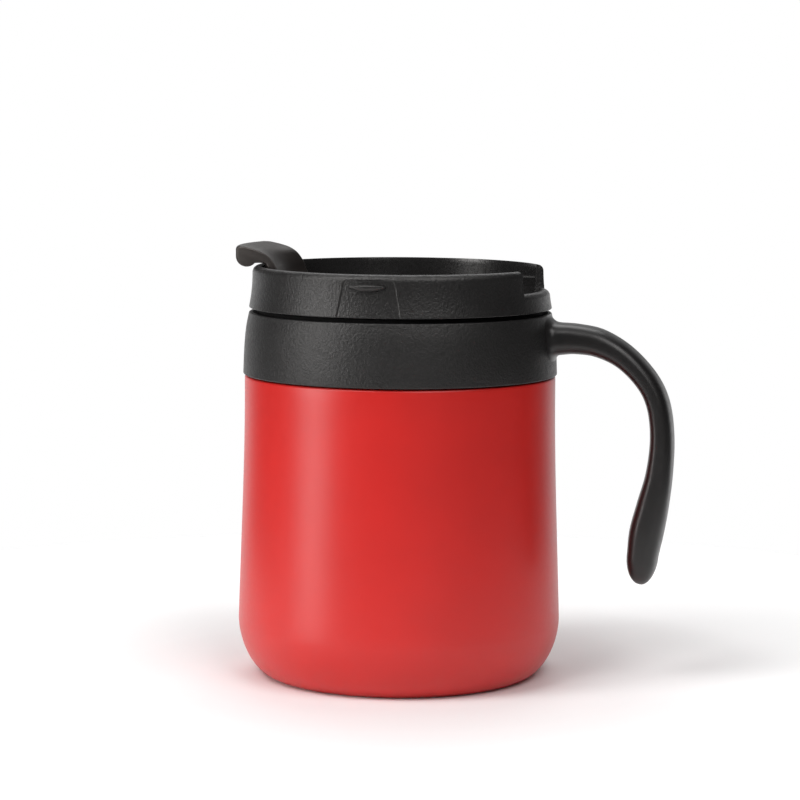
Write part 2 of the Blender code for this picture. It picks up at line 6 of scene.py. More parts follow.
import bmesh
import bpy
from mathutils import Euler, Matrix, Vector


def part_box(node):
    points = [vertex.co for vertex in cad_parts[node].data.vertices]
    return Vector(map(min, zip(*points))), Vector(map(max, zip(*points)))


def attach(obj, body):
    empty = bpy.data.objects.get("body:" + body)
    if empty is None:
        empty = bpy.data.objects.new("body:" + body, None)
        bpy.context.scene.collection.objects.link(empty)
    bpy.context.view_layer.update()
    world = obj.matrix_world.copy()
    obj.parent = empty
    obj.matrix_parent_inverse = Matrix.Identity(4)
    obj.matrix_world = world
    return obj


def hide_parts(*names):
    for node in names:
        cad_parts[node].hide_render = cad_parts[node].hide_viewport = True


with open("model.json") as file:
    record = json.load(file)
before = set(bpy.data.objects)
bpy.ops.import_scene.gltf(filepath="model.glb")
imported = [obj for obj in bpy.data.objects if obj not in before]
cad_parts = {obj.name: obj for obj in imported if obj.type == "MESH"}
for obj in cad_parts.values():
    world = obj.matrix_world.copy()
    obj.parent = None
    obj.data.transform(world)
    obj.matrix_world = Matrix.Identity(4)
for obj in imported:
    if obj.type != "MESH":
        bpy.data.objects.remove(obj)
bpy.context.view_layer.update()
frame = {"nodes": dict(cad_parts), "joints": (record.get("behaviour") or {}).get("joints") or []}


# Sizes read from the frame
SHELL_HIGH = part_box("outer_shell")[1]
COLLAR_LOW, COLLAR_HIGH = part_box("collar")
LID_LOW, LID_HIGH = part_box("lid_body")
FLAP_LOW, FLAP_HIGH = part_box("flap")
VESSEL_LOW, VESSEL_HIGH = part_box("inner_vessel")
HINGE = next(joint for joint in frame["joints"] if joint["name"] == "flap_hinge")
HINGE_HEIGHT = HINGE["pos_m"][2]

MM = 0.001
ROUND_STEPS = 256
FLOOR_STEPS = 128
FIT_GAP = 0.3 * MM

# The camera: turn and tilt in degrees, distance and height in metres, focal length in picture widths
CAMERA_TURN = 12.0
CAMERA_TILT = 6.36
CAMERA_ROLL = 0.306
CAMERA_DISTANCE = 0.750
CAMERA_HEIGHT = 0.157
CAMERA_FOCAL = 2828.0 / 800.0
SENSOR_WIDTH = 36.0

# Powers of the panels in watts, brightness of the room, and the floor
LIGHT_AIM = Vector((0.0, 0.0, 0.06))
KEY_POWER = 5.2
FILL_POWER = 1.8
HIGH_LEFT_POWER = 7.2
HIGH_RIGHT_POWER = 4.6
TOP_POWER = 1.9
BACK_POWER = 1.6
ROOM_BACK = 1.1
ROOM_FRONT = 0.125
ROOM_UPPER = 0.3
ROOM_SEEN = 1.0
FLOOR_RADIUS = 0.235
FLOOR_GLOW = 0.22
FLOOR_THICKNESS = 0.01

# The painted shell, the cup and the base
BODY_RADIUS = SHELL_HIGH.y
FOOT_RADIUS = 34.0 * MM
FOOT_HEIGHT = 15.1 * MM
FOOT_POWER = 1.79
SHELL_TOP_RADIUS = 41.35 * MM
TAPER_END = 76.0 * MM
SHELL_TOP = 80.4 * MM
SHELL_EDGE_ROUND = 0.7 * MM
SHEET = 0.6 * MM
FLANGE_RADIUS = 31.5 * MM
NECK_RADIUS = VESSEL_HIGH.y
CUP_RADIUS = 36.6 * MM
CUP_CORNER = 9.0 * MM
CUP_CORNER_HEIGHT = 17.0 * MM
PLATE_RADIUS = 31.2 * MM
PLATE_RECESS = 24.2 * MM
PLATE_RECESS_HEIGHT = 1.5 * MM
PLATE_HOLE = 2.0 * MM
COVER_RADIUS = 23.9 * MM
COVER_THICKNESS = 1.2 * MM
GROOVE_RADII = (18.0 * MM, 18.4 * MM, 18.8 * MM, 19.2 * MM)
GROOVE_DEPTH = 0.15 * MM

# The collar and its seal
COLLAR_EDGE = 0.35 * MM
COLLAR_TOP = 97.1 * MM
COLLAR_TOP_RADIUS = 39.9 * MM
COLLAR_SEAT_RADIUS = 37.9 * MM
COLLAR_SEAT_EDGE = 0.25 * MM
COLLAR_REBATE = 96.1 * MM
SEAL_TOP = 95.8 * MM
SEAL_ROUND = 0.45 * MM

# The lid: rim, well and notch
RIM_TOP = LID_HIGH.z
RIM_RADIUS = 39.3 * MM
RIM_ROUND = 1.75 * MM
RIM_FOOT_EDGE = 0.25 * MM
RIM_INNER_RADIUS = 37.35 * MM
RIM_INNER_EDGE = 0.1 * MM
RIM_BURIED_RADIUS = 36.2 * MM
RIM_BURIED_HEIGHT = 99.5 * MM
WALL_ROWS = 60
WELL_DRAFT = 0.35 * MM
WELL_REACH = 37.25 * MM
WELL_STEPS = 24
DECK = 104.4 * MM
DECK_EDGE = 0.6 * MM
DECK_ROWS = (24.0, 30.0, 34.0, 36.0, 36.8, 37.2)
CHANNEL_FLOOR = 100.0 * MM
CHANNEL_HALF_WIDTH = 16.2 * MM
CHANNEL_FILLET = 0.8 * MM
CHEEK_TOP = 106.0 * MM
CHEEK_START = 25.5 * MM
CHEEK_REACH = 38.0 * MM
CHEEK_EDGE = 0.3 * MM
CHEEK_OVERLAP = 0.02 * MM
NOTCH_FLOOR = 103.3 * MM
NOTCH_HALF_ANGLE = 24.4
NOTCH_EDGE_ANGLE = 0.2
# Each hole's middle, half its length and width, and how square it is
DRINKING_HOLE = (-29.5 * MM, 3.2 * MM, 6.0 * MM, 4.0)
VENT_HOLE = (-12.0 * MM, 1.7 * MM, 1.7 * MM, 2.0)
# The finger grips, and the small lips near their tops
GRIP_DEPTH = 0.17 * MM
GRIP_HOLLOW = 0.12 * MM
GRIP_STEP = 0.3 * MM
GRIP_TOP = 108.1 * MM
GRIP_CORNER = 1.3 * MM
GRIP_HALF_TOP = 6.7 * MM
GRIP_HALF_FOOT = 8.5 * MM
LIP_X = -0.4 * MM
LIP_HEIGHT = 106.3 * MM
LIP_SUNK = 0.35 * MM
LIP_HALF_WIDTH = 4.9 * MM
LIP_HALF_DEPTH = 1.3 * MM
LIP_ABOVE = 0.75 * MM
LIP_BELOW = 1.4 * MM

# The plug under the lid, and its seal
PLUG_RADIUS = 35.8 * MM
PLUG_TOP = 96.6 * MM
PLUG_SHOULDER = 96.8 * MM
PLUG_CEILING = 96.4 * MM
PLUG_FOOT_ROUND = 0.6 * MM
SEAL_GROOVE_RADIUS = 34.6 * MM
SKIRT_RADIUS = 33.4 * MM
SKIRT_ROUND = 1.0 * MM
FIN_ROUND = 0.35 * MM
FIN_ROOT = 0.8 * MM
FIN_FROM_EDGE = 0.55 * MM


# ---------------------------------------------------------------- meshes


def new_object(name, bm, material, sharp_angle=32.0):
    """Turns the mesh into an object with this material, smooth but for edges sharper than the angle."""
    bmesh.ops.recalc_face_normals(bm, faces=bm.faces)
    mesh = bpy.data.meshes.new(name)
    bm.to_mesh(mesh)
    bm.free()
    mesh.shade_smooth()
    mesh.set_sharp_from_angle(angle=math.radians(sharp_angle))
    mesh.materials.append(material)
    thing = bpy.data.objects.new(name, mesh)
    bpy.context.collection.objects.link(thing)
    return thing


def stand_for(piece, body, slot, *nodes):
    """The piece rides on this body and replaces these CAD nodes; the slot is not used."""
    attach(piece, body)
    if nodes:
        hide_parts(*nodes)


def arc(centre, radius, start, end, steps):
    """Points from one angle to another, in degrees."""
    points = []
    for step in range(steps + 1):
        angle = math.radians(start + (end - start) * step / steps)
        points.append((centre[0] + radius * math.cos(angle), centre[1] + radius * math.sin(angle)))
    return points


def ring_angles(steps):
    return [2 * math.pi * step / steps for step in range(steps)]


def swept_mesh(outline_at, angles):
    """Closed outlines of (radius, height), one for each angle round the Z axis, joined into a solid.
    A point with no radius is shared by all the outlines."""
    bm = bmesh.new()
    columns = []
    poles = {}
    for angle in angles:
        column = []
        for i, (radius, height) in enumerate(outline_at(angle)):
            if radius == 0.0:
                if i not in poles:
                    poles[i] = bm.verts.new((0.0, 0.0, height))
                column.append(poles[i])
            else:
                column.append(bm.verts.new((radius * math.cos(angle), radius * math.sin(angle), height)))
        columns.append(column)
    count = len(columns[0])
    for column, following in zip(columns, columns[1:] + columns[:1]):
        for i in range(count):
            j = (i + 1) % count
            corners = []
            for corner in (column[i], column[j], following[j], following[i]):
                if corner not in corners:
                    corners.append(corner)
            if len(corners) > 2:
                bm.faces.new(corners)
    return bm


def turned(name, outline, material, steps=ROUND_STEPS):
    """A round piece with the same outline at every angle."""
    return new_object(name, swept_mesh(lambda angle: outline, ring_angles(steps)), material)


def lofted_mesh(loops):
    """Loops with the same count of points, joined one to the next and closed at both ends."""
    bm = bmesh.new()
    rings = [[bm.verts.new(point) for point in loop] for loop in loops]
    for lower, upper in zip(rings, rings[1:]):
        for i in range(len(lower)):
            j = (i + 1) % len(lower)
            bm.faces.new((lower[i], lower[j], upper[j], upper[i]))
    bm.faces.new(rings[0][::-1])
    bm.faces.new(rings[-1])
    return bm


def smooth_line(points, steps):
    """A Catmull-Rom curve through the points, with this many steps between two of them."""
    knots = [Vector(point) for point in points]
    knots = [2 * knots[0] - knots[1]] + knots + [2 * knots[-1] - knots[-2]]
    line = []
    for before, start, end, after in zip(knots, knots[1:], knots[2:], knots[3:]):
        slope = end - before
        bend = 2 * before - 5 * start + 4 * end - after
        twist = 3 * start - before - 3 * end + after
        for step in range(steps):
            t = step / steps
            line.append(0.5 * (2 * start + slope * t + bend * t * t + twist * t * t * t))
    return line + [knots[-2]]


def rounded_loop(half_a, half_b, power, count):
    """Points round a superellipse: power 2 is an ellipse, and more is squarer."""
    points = []
    for step in range(count):
        angle = 2 * math.pi * (step + 0.5) / count
        cosine = math.cos(angle)
        sine = math.sin(angle)
        along = math.copysign(abs(cosine) ** (2 / power), cosine) * half_a
        across = math.copysign(abs(sine) ** (2 / power), sine) * half_b
        points.append((along, across))
    return points


def apply_boolean(thing, other, operation):
    """Cuts or joins at once and removes the helper."""
    modifier = thing.modifiers.new("cut", "BOOLEAN")
    modifier.operation = operation
    modifier.object = other
    graph = bpy.context.evaluated_depsgraph_get()
    mesh = bpy.data.meshes.new_from_object(thing.evaluated_get(graph))
    thing.modifiers.remove(modifier)
    old = thing.data
    thing.data = mesh
    mesh.name = old.name
    bpy.data.meshes.remove(old)
    bpy.data.objects.remove(other)


def smooth_step(value):
    """Eases from 0 to 1 as the value goes from 0 to 1, and stays there beyond."""
    value = min(1.0, max(0.0, value))
    return value * value * (3 - 2 * value)


# ---------------------------------------------------------------- materials


class Nodes:
    """A material's node tree with short ways to add and join nodes."""

    def __init__(self, name, colour, roughness, metallic=0.0):
        self.material = bpy.data.materials.new(name)
        self.material.use_nodes = True
        self.tree = self.material.node_tree
        self.shader = self.tree.nodes["Principled BSDF"]
        self.put(self.shader, "Base Color", (*colour, 1.0))
        self.put(self.shader, "Roughness", roughness)
        self.put(self.shader, "Metallic", metallic)
        self.place = self.tree.nodes.new("ShaderNodeTexCoord").outputs["Object"]

    def put(self, node, socket, value):
        node.inputs[socket].default_value = value

    def join(self, source, node, socket):
        self.tree.links.new(source, node.inputs[socket])

    def add(self, kind, joins):
        """A new node with these sources joined to its sockets."""
        node = self.tree.nodes.new(kind)
        for socket, source in joins.items():
            self.join(source, node, socket)
        return node

    def noise(self, scale, detail=2.0, roughness=0.5, place=None):
        """Soft random values round 0.5; scale is in cells per metre."""
        node = self.add("ShaderNodeTexNoise", {"Vector": place or self.place})
        self.put(node, "Scale", scale)
        self.put(node, "Detail", detail)
        self.put(node, "Roughness", roughness)
        return node.outputs["Fac"]

    def stretch(self, scale):
        node = self.add("ShaderNodeMapping", {"Vector": self.place})
        self.put(node, "Scale", scale)
        return node.outputs["Vector"]

    def radius(self):
        """Distance from the mug's axis."""
        level = self.add("ShaderNodeVectorMath", {0: self.place})
        level.operation = "MULTIPLY"
        self.put(level, 1, (1.0, 1.0, 0.0))
        length = self.add("ShaderNodeVectorMath", {0: level.outputs["Vector"]})
        length.operation = "LENGTH"
        return length.outputs["Value"]

    def between(self, factor, low, high, start=0.3, end=0.7):
        """A value that goes from low to high as the factor goes from start to end."""
        node = self.add("ShaderNodeMapRange", {"Value": factor})
        self.put(node, "From Min", start)
        self.put(node, "From Max", end)
        self.put(node, "To Min", low)
        self.put(node, "To Max", high)
        return node.outputs["Result"]

    def tint(self, factor, low, high):
        """Colour that goes from low to high as the factor does, across its middle values."""
        ramp = self.add("ShaderNodeValToRGB", {"Fac": factor})
        for element, position, colour in zip(ramp.color_ramp.elements, (0.3, 0.7), (low, high)):
            element.position = position
            element.color = (*colour, 1.0)
        self.join(ramp.outputs["Color"], self.shader, "Base Color")

    def bump(self, height, distance, strength, under=None):
        node = self.add("ShaderNodeBump", {"Height": height})
        self.put(node, "Distance", distance)
        self.put(node, "Strength", strength)
        if under:
            self.join(under, node, "Normal")
        return node.outputs["Normal"]

    def finish_normal(self, normal):
        self.join(normal, self.shader, "Normal")


def shade(colour, factor):
    """The colour made darker or lighter."""
    return tuple(channel * factor for channel in colour)


def red_paint():
    colour = (0.56, 0.0140, 0.0110)
    nodes = Nodes("satin red paint", colour, 0.36)
    nodes.tint(nodes.noise(60.0, 3.0), shade(colour, 0.97), shade(colour, 1.03))
    nodes.join(nodes.between(nodes.noise(900.0, 2.0), 0.34, 0.38), nodes.shader, "Roughness")
    peel = nodes.bump(nodes.noise(700.0, 2.0), 0.00002, 0.5)
    speck = nodes.bump(nodes.noise(4200.0, 1.0), 0.000008, 0.5, under=peel)
    nodes.finish_normal(speck)
    return nodes.material


def grained_plastic(name, colour, roughness, grain, depth, inner_roughness, inner_sheen, inner_radius):
    """Grained outside this radius, and finer inside it, with a roughness and sheen of its own there."""
    nodes = Nodes(name, colour, roughness)
    # The warm specular tint is painted light: it gives the reflections the warmth of the room round the
    # mug.
    nodes.put(nodes.shader, "Specular Tint", (1.0, 0.98, 0.96, 1.0))
    nodes.tint(nodes.noise(1500.0, 3.0), shade(colour, 0.82), shade(colour, 1.2))
    radius = nodes.radius()
    start, end = inner_radius, inner_radius + 0.4 * MM
    speckle = nodes.between(nodes.noise(grain * 0.7, 3.0, 0.6), -0.05, 0.05)
    level = nodes.between(radius, inner_roughness, roughness, start, end)
    total = nodes.add("ShaderNodeMath", {0: speckle, 1: level})
    nodes.join(total.outputs[0], nodes.shader, "Roughness")
    # Where the sheen inside the radius is low, it is painted shade: on the collar it dulls the face inside
    # the gap under the lid, where shade falls.
    nodes.join(nodes.between(radius, inner_sheen, 0.5, start, end), nodes.shader, "Specular IOR Level")
    bump = nodes.add("ShaderNodeBump", {"Height": nodes.noise(grain, 3.0, 0.6)})
    nodes.put(bump, "Distance", depth)
    nodes.join(nodes.between(radius, 0.12, 0.8, start, end), bump, "Strength")
    nodes.finish_normal(bump.outputs["Normal"])
    return nodes.material


def smooth_plastic(name, colour, roughness, sheen=(1.0, 0.98, 0.97)):
    nodes = Nodes(name, colour, roughness)
    # The sheen is painted light: a warm tint on the reflections that stands in for the warmth of the room
    # round the mug.
    nodes.put(nodes.shader, "Specular Tint", (*sheen, 1.0))
    nodes.tint(nodes.noise(300.0, 2.0), shade(colour, 0.92), shade(colour, 1.08))
    level = nodes.between(nodes.noise(500.0), roughness - 0.03, roughness + 0.03)
    nodes.join(level, nodes.shader, "Roughness")
    nodes.finish_normal(nodes.bump(nodes.noise(2200.0, 2.0), 0.00002, 0.6))
    return nodes.material


def brushed_steel(name, stretch):
    """Steel with fine lines, long where the stretch is small."""
    colour = (0.62, 0.61, 0.60)
    nodes = Nodes(name, colour, 0.28, 1.0)
    lines = nodes.noise(1.0, 3.0, 0.6, place=nodes.stretch(stretch))
    nodes.tint(lines, shade(colour, 0.92), shade(colour, 1.04))
    nodes.join(nodes.between(lines, 0.22, 0.34), nodes.shader, "Roughness")
    nodes.finish_normal(nodes.bump(lines, 0.000006, 0.4))
    return nodes.material


def silicone():
    colour = (0.17, 0.17, 0.17)
    nodes = Nodes("grey silicone", colour, 0.55)
    nodes.tint(nodes.noise(400.0, 2.0), shade(colour, 0.94), shade(colour, 1.06))
    nodes.put(nodes.shader, "Subsurface Weight", 0.05)
    nodes.put(nodes.shader, "Subsurface Radius", (0.002, 0.002, 0.002))
    nodes.finish_normal(nodes.bump(nodes.noise(1800.0, 2.0), 0.00001, 0.4))
    return nodes.material


def copper_foil():
    colour = (0.80, 0.45, 0.32)
    nodes = Nodes("copper foil", colour, 0.22, 1.0)
    nodes.tint(nodes.noise(90.0), shade(colour, 0.9), shade(colour, 1.05))
    nodes.finish_normal(nodes.bump(nodes.noise(350.0, 2.0), 0.00006, 0.5))
    return nodes.material


def sealing_glass():
    colour = (0.30, 0.28, 0.25)
    nodes = Nodes("sealing glass", colour, 0.30)
    nodes.tint(nodes.noise(700.0), shade(colour, 0.85), shade(colour, 1.1))
    nodes.finish_normal(nodes.bump(nodes.noise(900.0), 0.00002, 0.5))
    return nodes.material


PAINT = red_paint()
BLACK = (0.0105, 0.0100, 0.0100)
GRAIN_DEPTH = 0.24 * MM
GRAINED = grained_plastic("grained black plastic", BLACK, 0.37, 1500.0, GRAIN_DEPTH, 0.27, 0.6, 37.5 * MM)
# Inside 39 mm the collar's face in the gap under the lid is made rough and nearly without sheen: painted
# shade.
COLLAR_PLASTIC = grained_plastic(
    "grained collar plastic", BLACK, 0.44, 1400.0, GRAIN_DEPTH, 0.80, 0.1, 39.0 * MM
)
# The flap's warmer sheen is painted light: a painted warm tint on all its reflections.
FLAP_PLASTIC = smooth_plastic("flap plastic", (0.0130, 0.0105, 0.0095), 0.38, (1.0, 0.92, 0.87))
HANDLE_PLASTIC = smooth_plastic("handle plastic", (0.0095, 0.0088, 0.0088), 0.36)
INNER_PLASTIC = smooth_plastic("inner plastic", (0.016, 0.016, 0.016), 0.42)
SILICONE = silicone()
WALL_STEEL = brushed_steel("brushed vessel steel", (60.0, 60.0, 6000.0))
PLATE_STEEL = brushed_steel("brushed plate steel", (60.0, 5000.0, 60.0))
FOIL = copper_foil()
GLASS = sealing_glass()


# ---------------------------------------------------------------- camera, floor and light


def make_camera():
    """The view from a little right of the mug's front, a little above it."""
    turn = math.radians(CAMERA_TURN)
    camera_data = bpy.data.cameras.new("camera")
    camera_data.sensor_width = SENSOR_WIDTH
    camera_data.lens = CAMERA_FOCAL * SENSOR_WIDTH
    camera_data.clip_start = 0.01
    camera_data.clip_end = 20.0
    camera = bpy.data.objects.new("camera", camera_data)
    camera.location = (CAMERA_DISTANCE * math.sin(turn), -CAMERA_DISTANCE * math.cos(turn), CAMERA_HEIGHT)
    aim = Euler((math.radians(90.0 - CAMERA_TILT), 0.0, turn)).to_matrix()
    roll = Euler((0.0, 0.0, math.radians(CAMERA_ROLL))).to_matrix()
    camera.rotation_euler = (aim @ roll).to_euler()
    bpy.context.collection.objects.link(camera)
    bpy.context.scene.camera = camera


def make_floor():
    """A round pale light table, which glows away from the mug and is lost against the white room."""
    nodes = Nodes("pale floor", (0.90, 0.90, 0.90), 0.75)
    nodes.tint(nodes.noise(3.0), (0.895, 0.895, 0.895), (0.905, 0.905, 0.905))
    glow = nodes.between(nodes.radius(), 0.0, FLOOR_GLOW, 0.05, 0.11)
    nodes.join(glow, nodes.shader, "Emission Strength")
    nodes.put(nodes.shader, "Emission Color", (1.0, 1.0, 1.0, 1.0))
    low = -FLOOR_THICKNESS
    outline = [(0.0, 0.0), (FLOOR_RADIUS, 0.0), (FLOOR_RADIUS, low), (0.0, low)]
    turned("floor", outline, nodes.material, FLOOR_STEPS)


def area_light(name, turn, tilt, distance, size, power):
    """A soft panel that faces the mug, turned from the camera and tilted up by these degrees."""
    data = bpy.data.lights.new(name, "AREA")
    data.shape = "RECTANGLE"
    data.size, data.size_y = size
    data.energy = power
    turn = math.radians(CAMERA_TURN + turn)
    tilt = math.radians(tilt)
    level = distance * math.cos(tilt)
    place = Vector((level * math.sin(turn), -level * math.cos(turn), distance * math.sin(tilt)))
    light = bpy.data.objects.new(name, data)
    light.location = LIGHT_AIM + place
    light.rotation_euler = (-place).to_track_quat("-Z", "Y").to_euler()
    bpy.context.collection.objects.link(light)
    light.visible_camera = False


def make_world():
    """A white room behind the mug, dimmer in front of it and above; the camera sees it all as white."""
    world = bpy.data.worlds.new("studio")
    world.use_nodes = True
    tree = world.node_tree
    background = tree.nodes["Background"]
    background.inputs["Color"].default_value = (1.0, 1.0, 1.0, 1.0)
    place = tree.nodes.new("ShaderNodeTexCoord").outputs["Generated"]

    def spread(direction, low, high, start, end):
        """Goes from start to end as this direction's share of the view goes from low to high."""
        along = tree.nodes.new("ShaderNodeVectorMath")
        along.operation = "DOT_PRODUCT"
        along.inputs[1].default_value = direction
        tree.links.new(place, along.inputs[0])
        change = tree.nodes.new("ShaderNodeMapRange")
        change.interpolation_type = "SMOOTHSTEP"
        for socket, value in zip(("From Min", "From Max", "To Min", "To Max"), (low, high, start, end)):
            change.inputs[socket].default_value = value
        tree.links.new(along.outputs["Value"], change.inputs["Value"])
        return change.outputs["Result"]

    turn = math.radians(CAMERA_TURN)
    back = spread((-math.sin(turn), math.cos(turn), 0.0), 0.60, 0.90, ROOM_FRONT, ROOM_BACK)
    upper = spread((0.0, 0.0, 1.0), 0.0, 0.22, 1.0, ROOM_UPPER)
    level = tree.nodes.new("ShaderNodeMath")
    level.operation = "MULTIPLY"
    tree.links.new(back, level.inputs[0])
    tree.links.new(upper, level.inputs[1])
    seen = tree.nodes.new("ShaderNodeLightPath").outputs["Is Camera Ray"]
    strength = tree.nodes.new("ShaderNodeMix")
    strength.data_type = "FLOAT"
    tree.links.new(seen, strength.inputs[0])
    tree.links.new(level.outputs[0], strength.inputs[2])
    strength.inputs[3].default_value = ROOM_SEEN
    tree.links.new(strength.outputs[0], background.inputs["Strength"])
    bpy.context.scene.world = world


def make_light():
    make_world()
    area_light("key", -64.0, 11.0, 1.0, (0.36, 0.70), KEY_POWER)
    area_light("fill", 19.0, 30.0, 1.2, (0.40, 0.50), FILL_POWER)
    area_light("high_left", -50.0, 52.0, 1.2, (0.7, 0.5), HIGH_LEFT_POWER)
    area_light("high_right", 35.0, 52.0, 1.2, (0.7, 0.5), HIGH_RIGHT_POWER)
    area_light("top", 0.0, 89.0, 1.1, (1.0, 1.0), TOP_POWER)
    area_light("back", 180.0, 50.0, 0.8, (0.6, 0.4), BACK_POWER)


# ---------------------------------------------------------------- the mug


def shell_radius(height):
    """Radius of the painted shell above its foot: a taper that fades out below the collar."""
    rise = min(1.0, (height - FOOT_HEIGHT) / (TAPER_END - FOOT_HEIGHT))
    return SHELL_TOP_RADIUS + (BODY_RADIUS - SHELL_TOP_RADIUS) * (1 - rise) * (1 - rise * rise)


def foot_curve(inset, steps):
    """The rounded foot, or the same curve inset for the sheet's inner side."""
    points = []
    for step in range(steps + 1):
        angle = math.pi / 2 * step / steps
        reach = math.sin(angle) ** (2 / FOOT_POWER)
        rise = 1 - math.cos(angle) ** (2 / FOOT_POWER)
        radius = FOOT_RADIUS + (BODY_RADIUS - inset - FOOT_RADIUS) * reach
        points.append((radius, inset + (FOOT_HEIGHT - inset) * rise))
    return points


def make_shell():
    """The painted shell as one bent sheet: foot, tapered side, shoulder and the neck inside the collar."""
    span = TAPER_END - FOOT_HEIGHT
    heights = [FOOT_HEIGHT + span * step / 24 for step in range(1, 25)]
    edge = (SHELL_TOP_RADIUS - SHELL_EDGE_ROUND, SHELL_TOP - SHELL_EDGE_ROUND)
    neck_top = VESSEL_HIGH.z - SHEET - FIT_GAP
    outside = foot_curve(0.0, 24) + [(shell_radius(height), height) for height in heights]
    outside += arc(edge, SHELL_EDGE_ROUND, 0, 90, 6)
    outside += [(NECK_RADIUS, SHELL_TOP), (NECK_RADIUS, neck_top)]
    inside = foot_curve(SHEET, 12) + [(shell_radius(height) - SHEET, height) for height in heights[::4]]
    inside += [
        (SHELL_TOP_RADIUS - SHEET, edge[1]),
        (edge[0], SHELL_TOP - SHEET),
        (NECK_RADIUS - SHEET, SHELL_TOP - SHEET),
        (NECK_RADIUS - SHEET, neck_top),
    ]
    outline = [(FLANGE_RADIUS, 0.0)] + outside + inside[::-1] + [(FLANGE_RADIUS, SHEET)]
    stand_for(turned("painted_shell", outline, PAINT), "mug", "red_paint", "outer_shell")


def make_vessel():
    """The steel cup, whose lip turns out over the shell's neck."""
    corner = (CUP_RADIUS - CUP_CORNER, CUP_CORNER_HEIGHT)
    top = VESSEL_HIGH.z
    half = SHEET / 2
    outline = [(0.0, VESSEL_LOW.z)] + arc(corner, CUP_CORNER + SHEET, -90, 0, 12)
    outline += [(CUP_RADIUS + SHEET, top - SHEET)]
    outline += arc((NECK_RADIUS - half, top - half), half, -90, 90, 6)
    outline += arc((CUP_RADIUS + half, top - half), half, 90, 180, 4)
    outline += arc(corner, CUP_CORNER, 0, -90, 12) + [(0.0, VESSEL_LOW.z + SHEET)]
    stand_for(turned("steel_cup", outline, WALL_STEEL), "mug", "brushed_steel", "inner_vessel")


def make_underside():
    """The dished base plate with its hole, and the disc that lies in the dish."""
    edge = SHEET / 2
    inner = PLATE_RECESS + SHEET
    upper = PLATE_RECESS_HEIGHT + SHEET
    outline = arc((PLATE_RECESS + edge, edge), edge, 180, 270, 4)
    outline += arc((PLATE_RADIUS - edge, edge), edge, -90, 0, 4)
    outline += [(PLATE_RADIUS, SHEET), (inner, SHEET), (inner, upper), (PLATE_HOLE, upper)]
    outline += [(PLATE_HOLE, PLATE_RECESS_HEIGHT), (PLATE_RECESS, PLATE_RECESS_HEIGHT)]
    stand_for(turned("base_plate", outline, PLATE_STEEL), "mug", "brushed_steel", "outer_base")
    rounding = 0.5 * MM
    outline = [(0.0, 0.0)]
    outline += list(zip(GROOVE_RADII, (0.0, GROOVE_DEPTH, GROOVE_DEPTH, 0.0)))
    outline += arc((COVER_RADIUS - rounding, rounding), rounding, -90, 0, 6)
    outline += [(COVER_RADIUS, COVER_THICKNESS), (0.0, COVER_THICKNESS)]
    stand_for(turned("base_disc", outline, PLATE_STEEL), "mug", "brushed_steel", "base_cover")


# Radius and height of points up the collar's side, in millimetres
COLLAR_SIDE = (
    (41.75, 81.0),
    (41.60, 85.5),
    (41.35, 89.7),
    (41.00, 93.0),
    (40.60, 95.2),
    (40.25, 96.8),
)


def collar_radius(height):
    """Outer radius of the collar at this height."""
    side = [(radius * MM, level * MM) for radius, level in COLLAR_SIDE]
    if height <= side[0][1]:
        return side[0][0]
    for (low_radius, low), (high_radius, high) in zip(side, side[1:]):
        if height <= high:
            return low_radius + (high_radius - low_radius) * (height - low) / (high - low)
    return side[-1][0]


def make_collar():
    """The collar with its raised seat under the lid, and the ring that seals it to the cup's lip."""
    bottom = COLLAR_LOW.z
    bore = NECK_RADIUS + FIT_GAP
    mouth = CUP_RADIUS + FIT_GAP
    foot = (COLLAR_HIGH.y - COLLAR_EDGE, bottom + COLLAR_EDGE)
    outline = [(bore, bottom)] + arc(foot, COLLAR_EDGE, -90, 0, 5)
    side = [(radius * MM, height * MM) for radius, height in COLLAR_SIDE[1:]]
    outline += [tuple(point) for point in smooth_line(side, 5)]
    outline += arc((COLLAR_TOP_RADIUS, COLLAR_TOP - COLLAR_EDGE), COLLAR_EDGE, 0, 90, 6)
    outline += [(COLLAR_SEAT_RADIUS, COLLAR_TOP)]
    level = COLLAR_HIGH.z - COLLAR_SEAT_EDGE
    outline += arc((COLLAR_SEAT_RADIUS - COLLAR_SEAT_EDGE, level), COLLAR_SEAT_EDGE, 0, 90, 3)
    outline += arc((mouth + COLLAR_SEAT_EDGE, level), COLLAR_SEAT_EDGE, 90, 180, 3)
    outline += [(mouth, COLLAR_REBATE), (bore, COLLAR_REBATE)]
    stand_for(turned("collar_ring", outline, COLLAR_PLASTIC), "mug", "grained_plastic", "collar")
    low = VESSEL_HIGH.z + FIT_GAP
    middle = (NECK_RADIUS - 0.4 * MM, (low + SEAL_TOP) / 2)
    outline = [(mouth, low)] + arc(middle, SEAL_ROUND, -90, 90, 8) + [(mouth, SEAL_TOP)]
    stand_for(turned("neck_seal", outline, SILICONE), "mug", "silicone", "collar_seal")


# Middle line of the handle in the plane of X and Z, with half its thickness and half its width there,
# all in millimetres
HANDLE_LINE = (
    (43.0, 90.9, 4.20, 6.7),
    (47.5, 90.9, 3.90, 6.5),
    (53.5, 89.9, 3.60, 6.4),
    (60.2, 86.4, 3.10, 6.3),
    (66.1, 80.4, 2.90, 6.3),
    (69.2, 74.0, 2.90, 6.3),
    (70.3, 65.5, 3.00, 6.4),
    (69.7, 56.0, 3.40, 6.5),
    (68.1, 47.5, 4.10, 6.7),
    (66.6, 40.5, 4.40, 6.8),
    (65.6, 34.0, 4.00, 6.6),
)
HANDLE_TIP = (65.0, 26.4)
HANDLE_POWER = 3.0
ROOT_ROUND = 2.2
ROOT_STEPS = 8
ROOT_LENGTH = 9.0
TIP_STEPS = 16


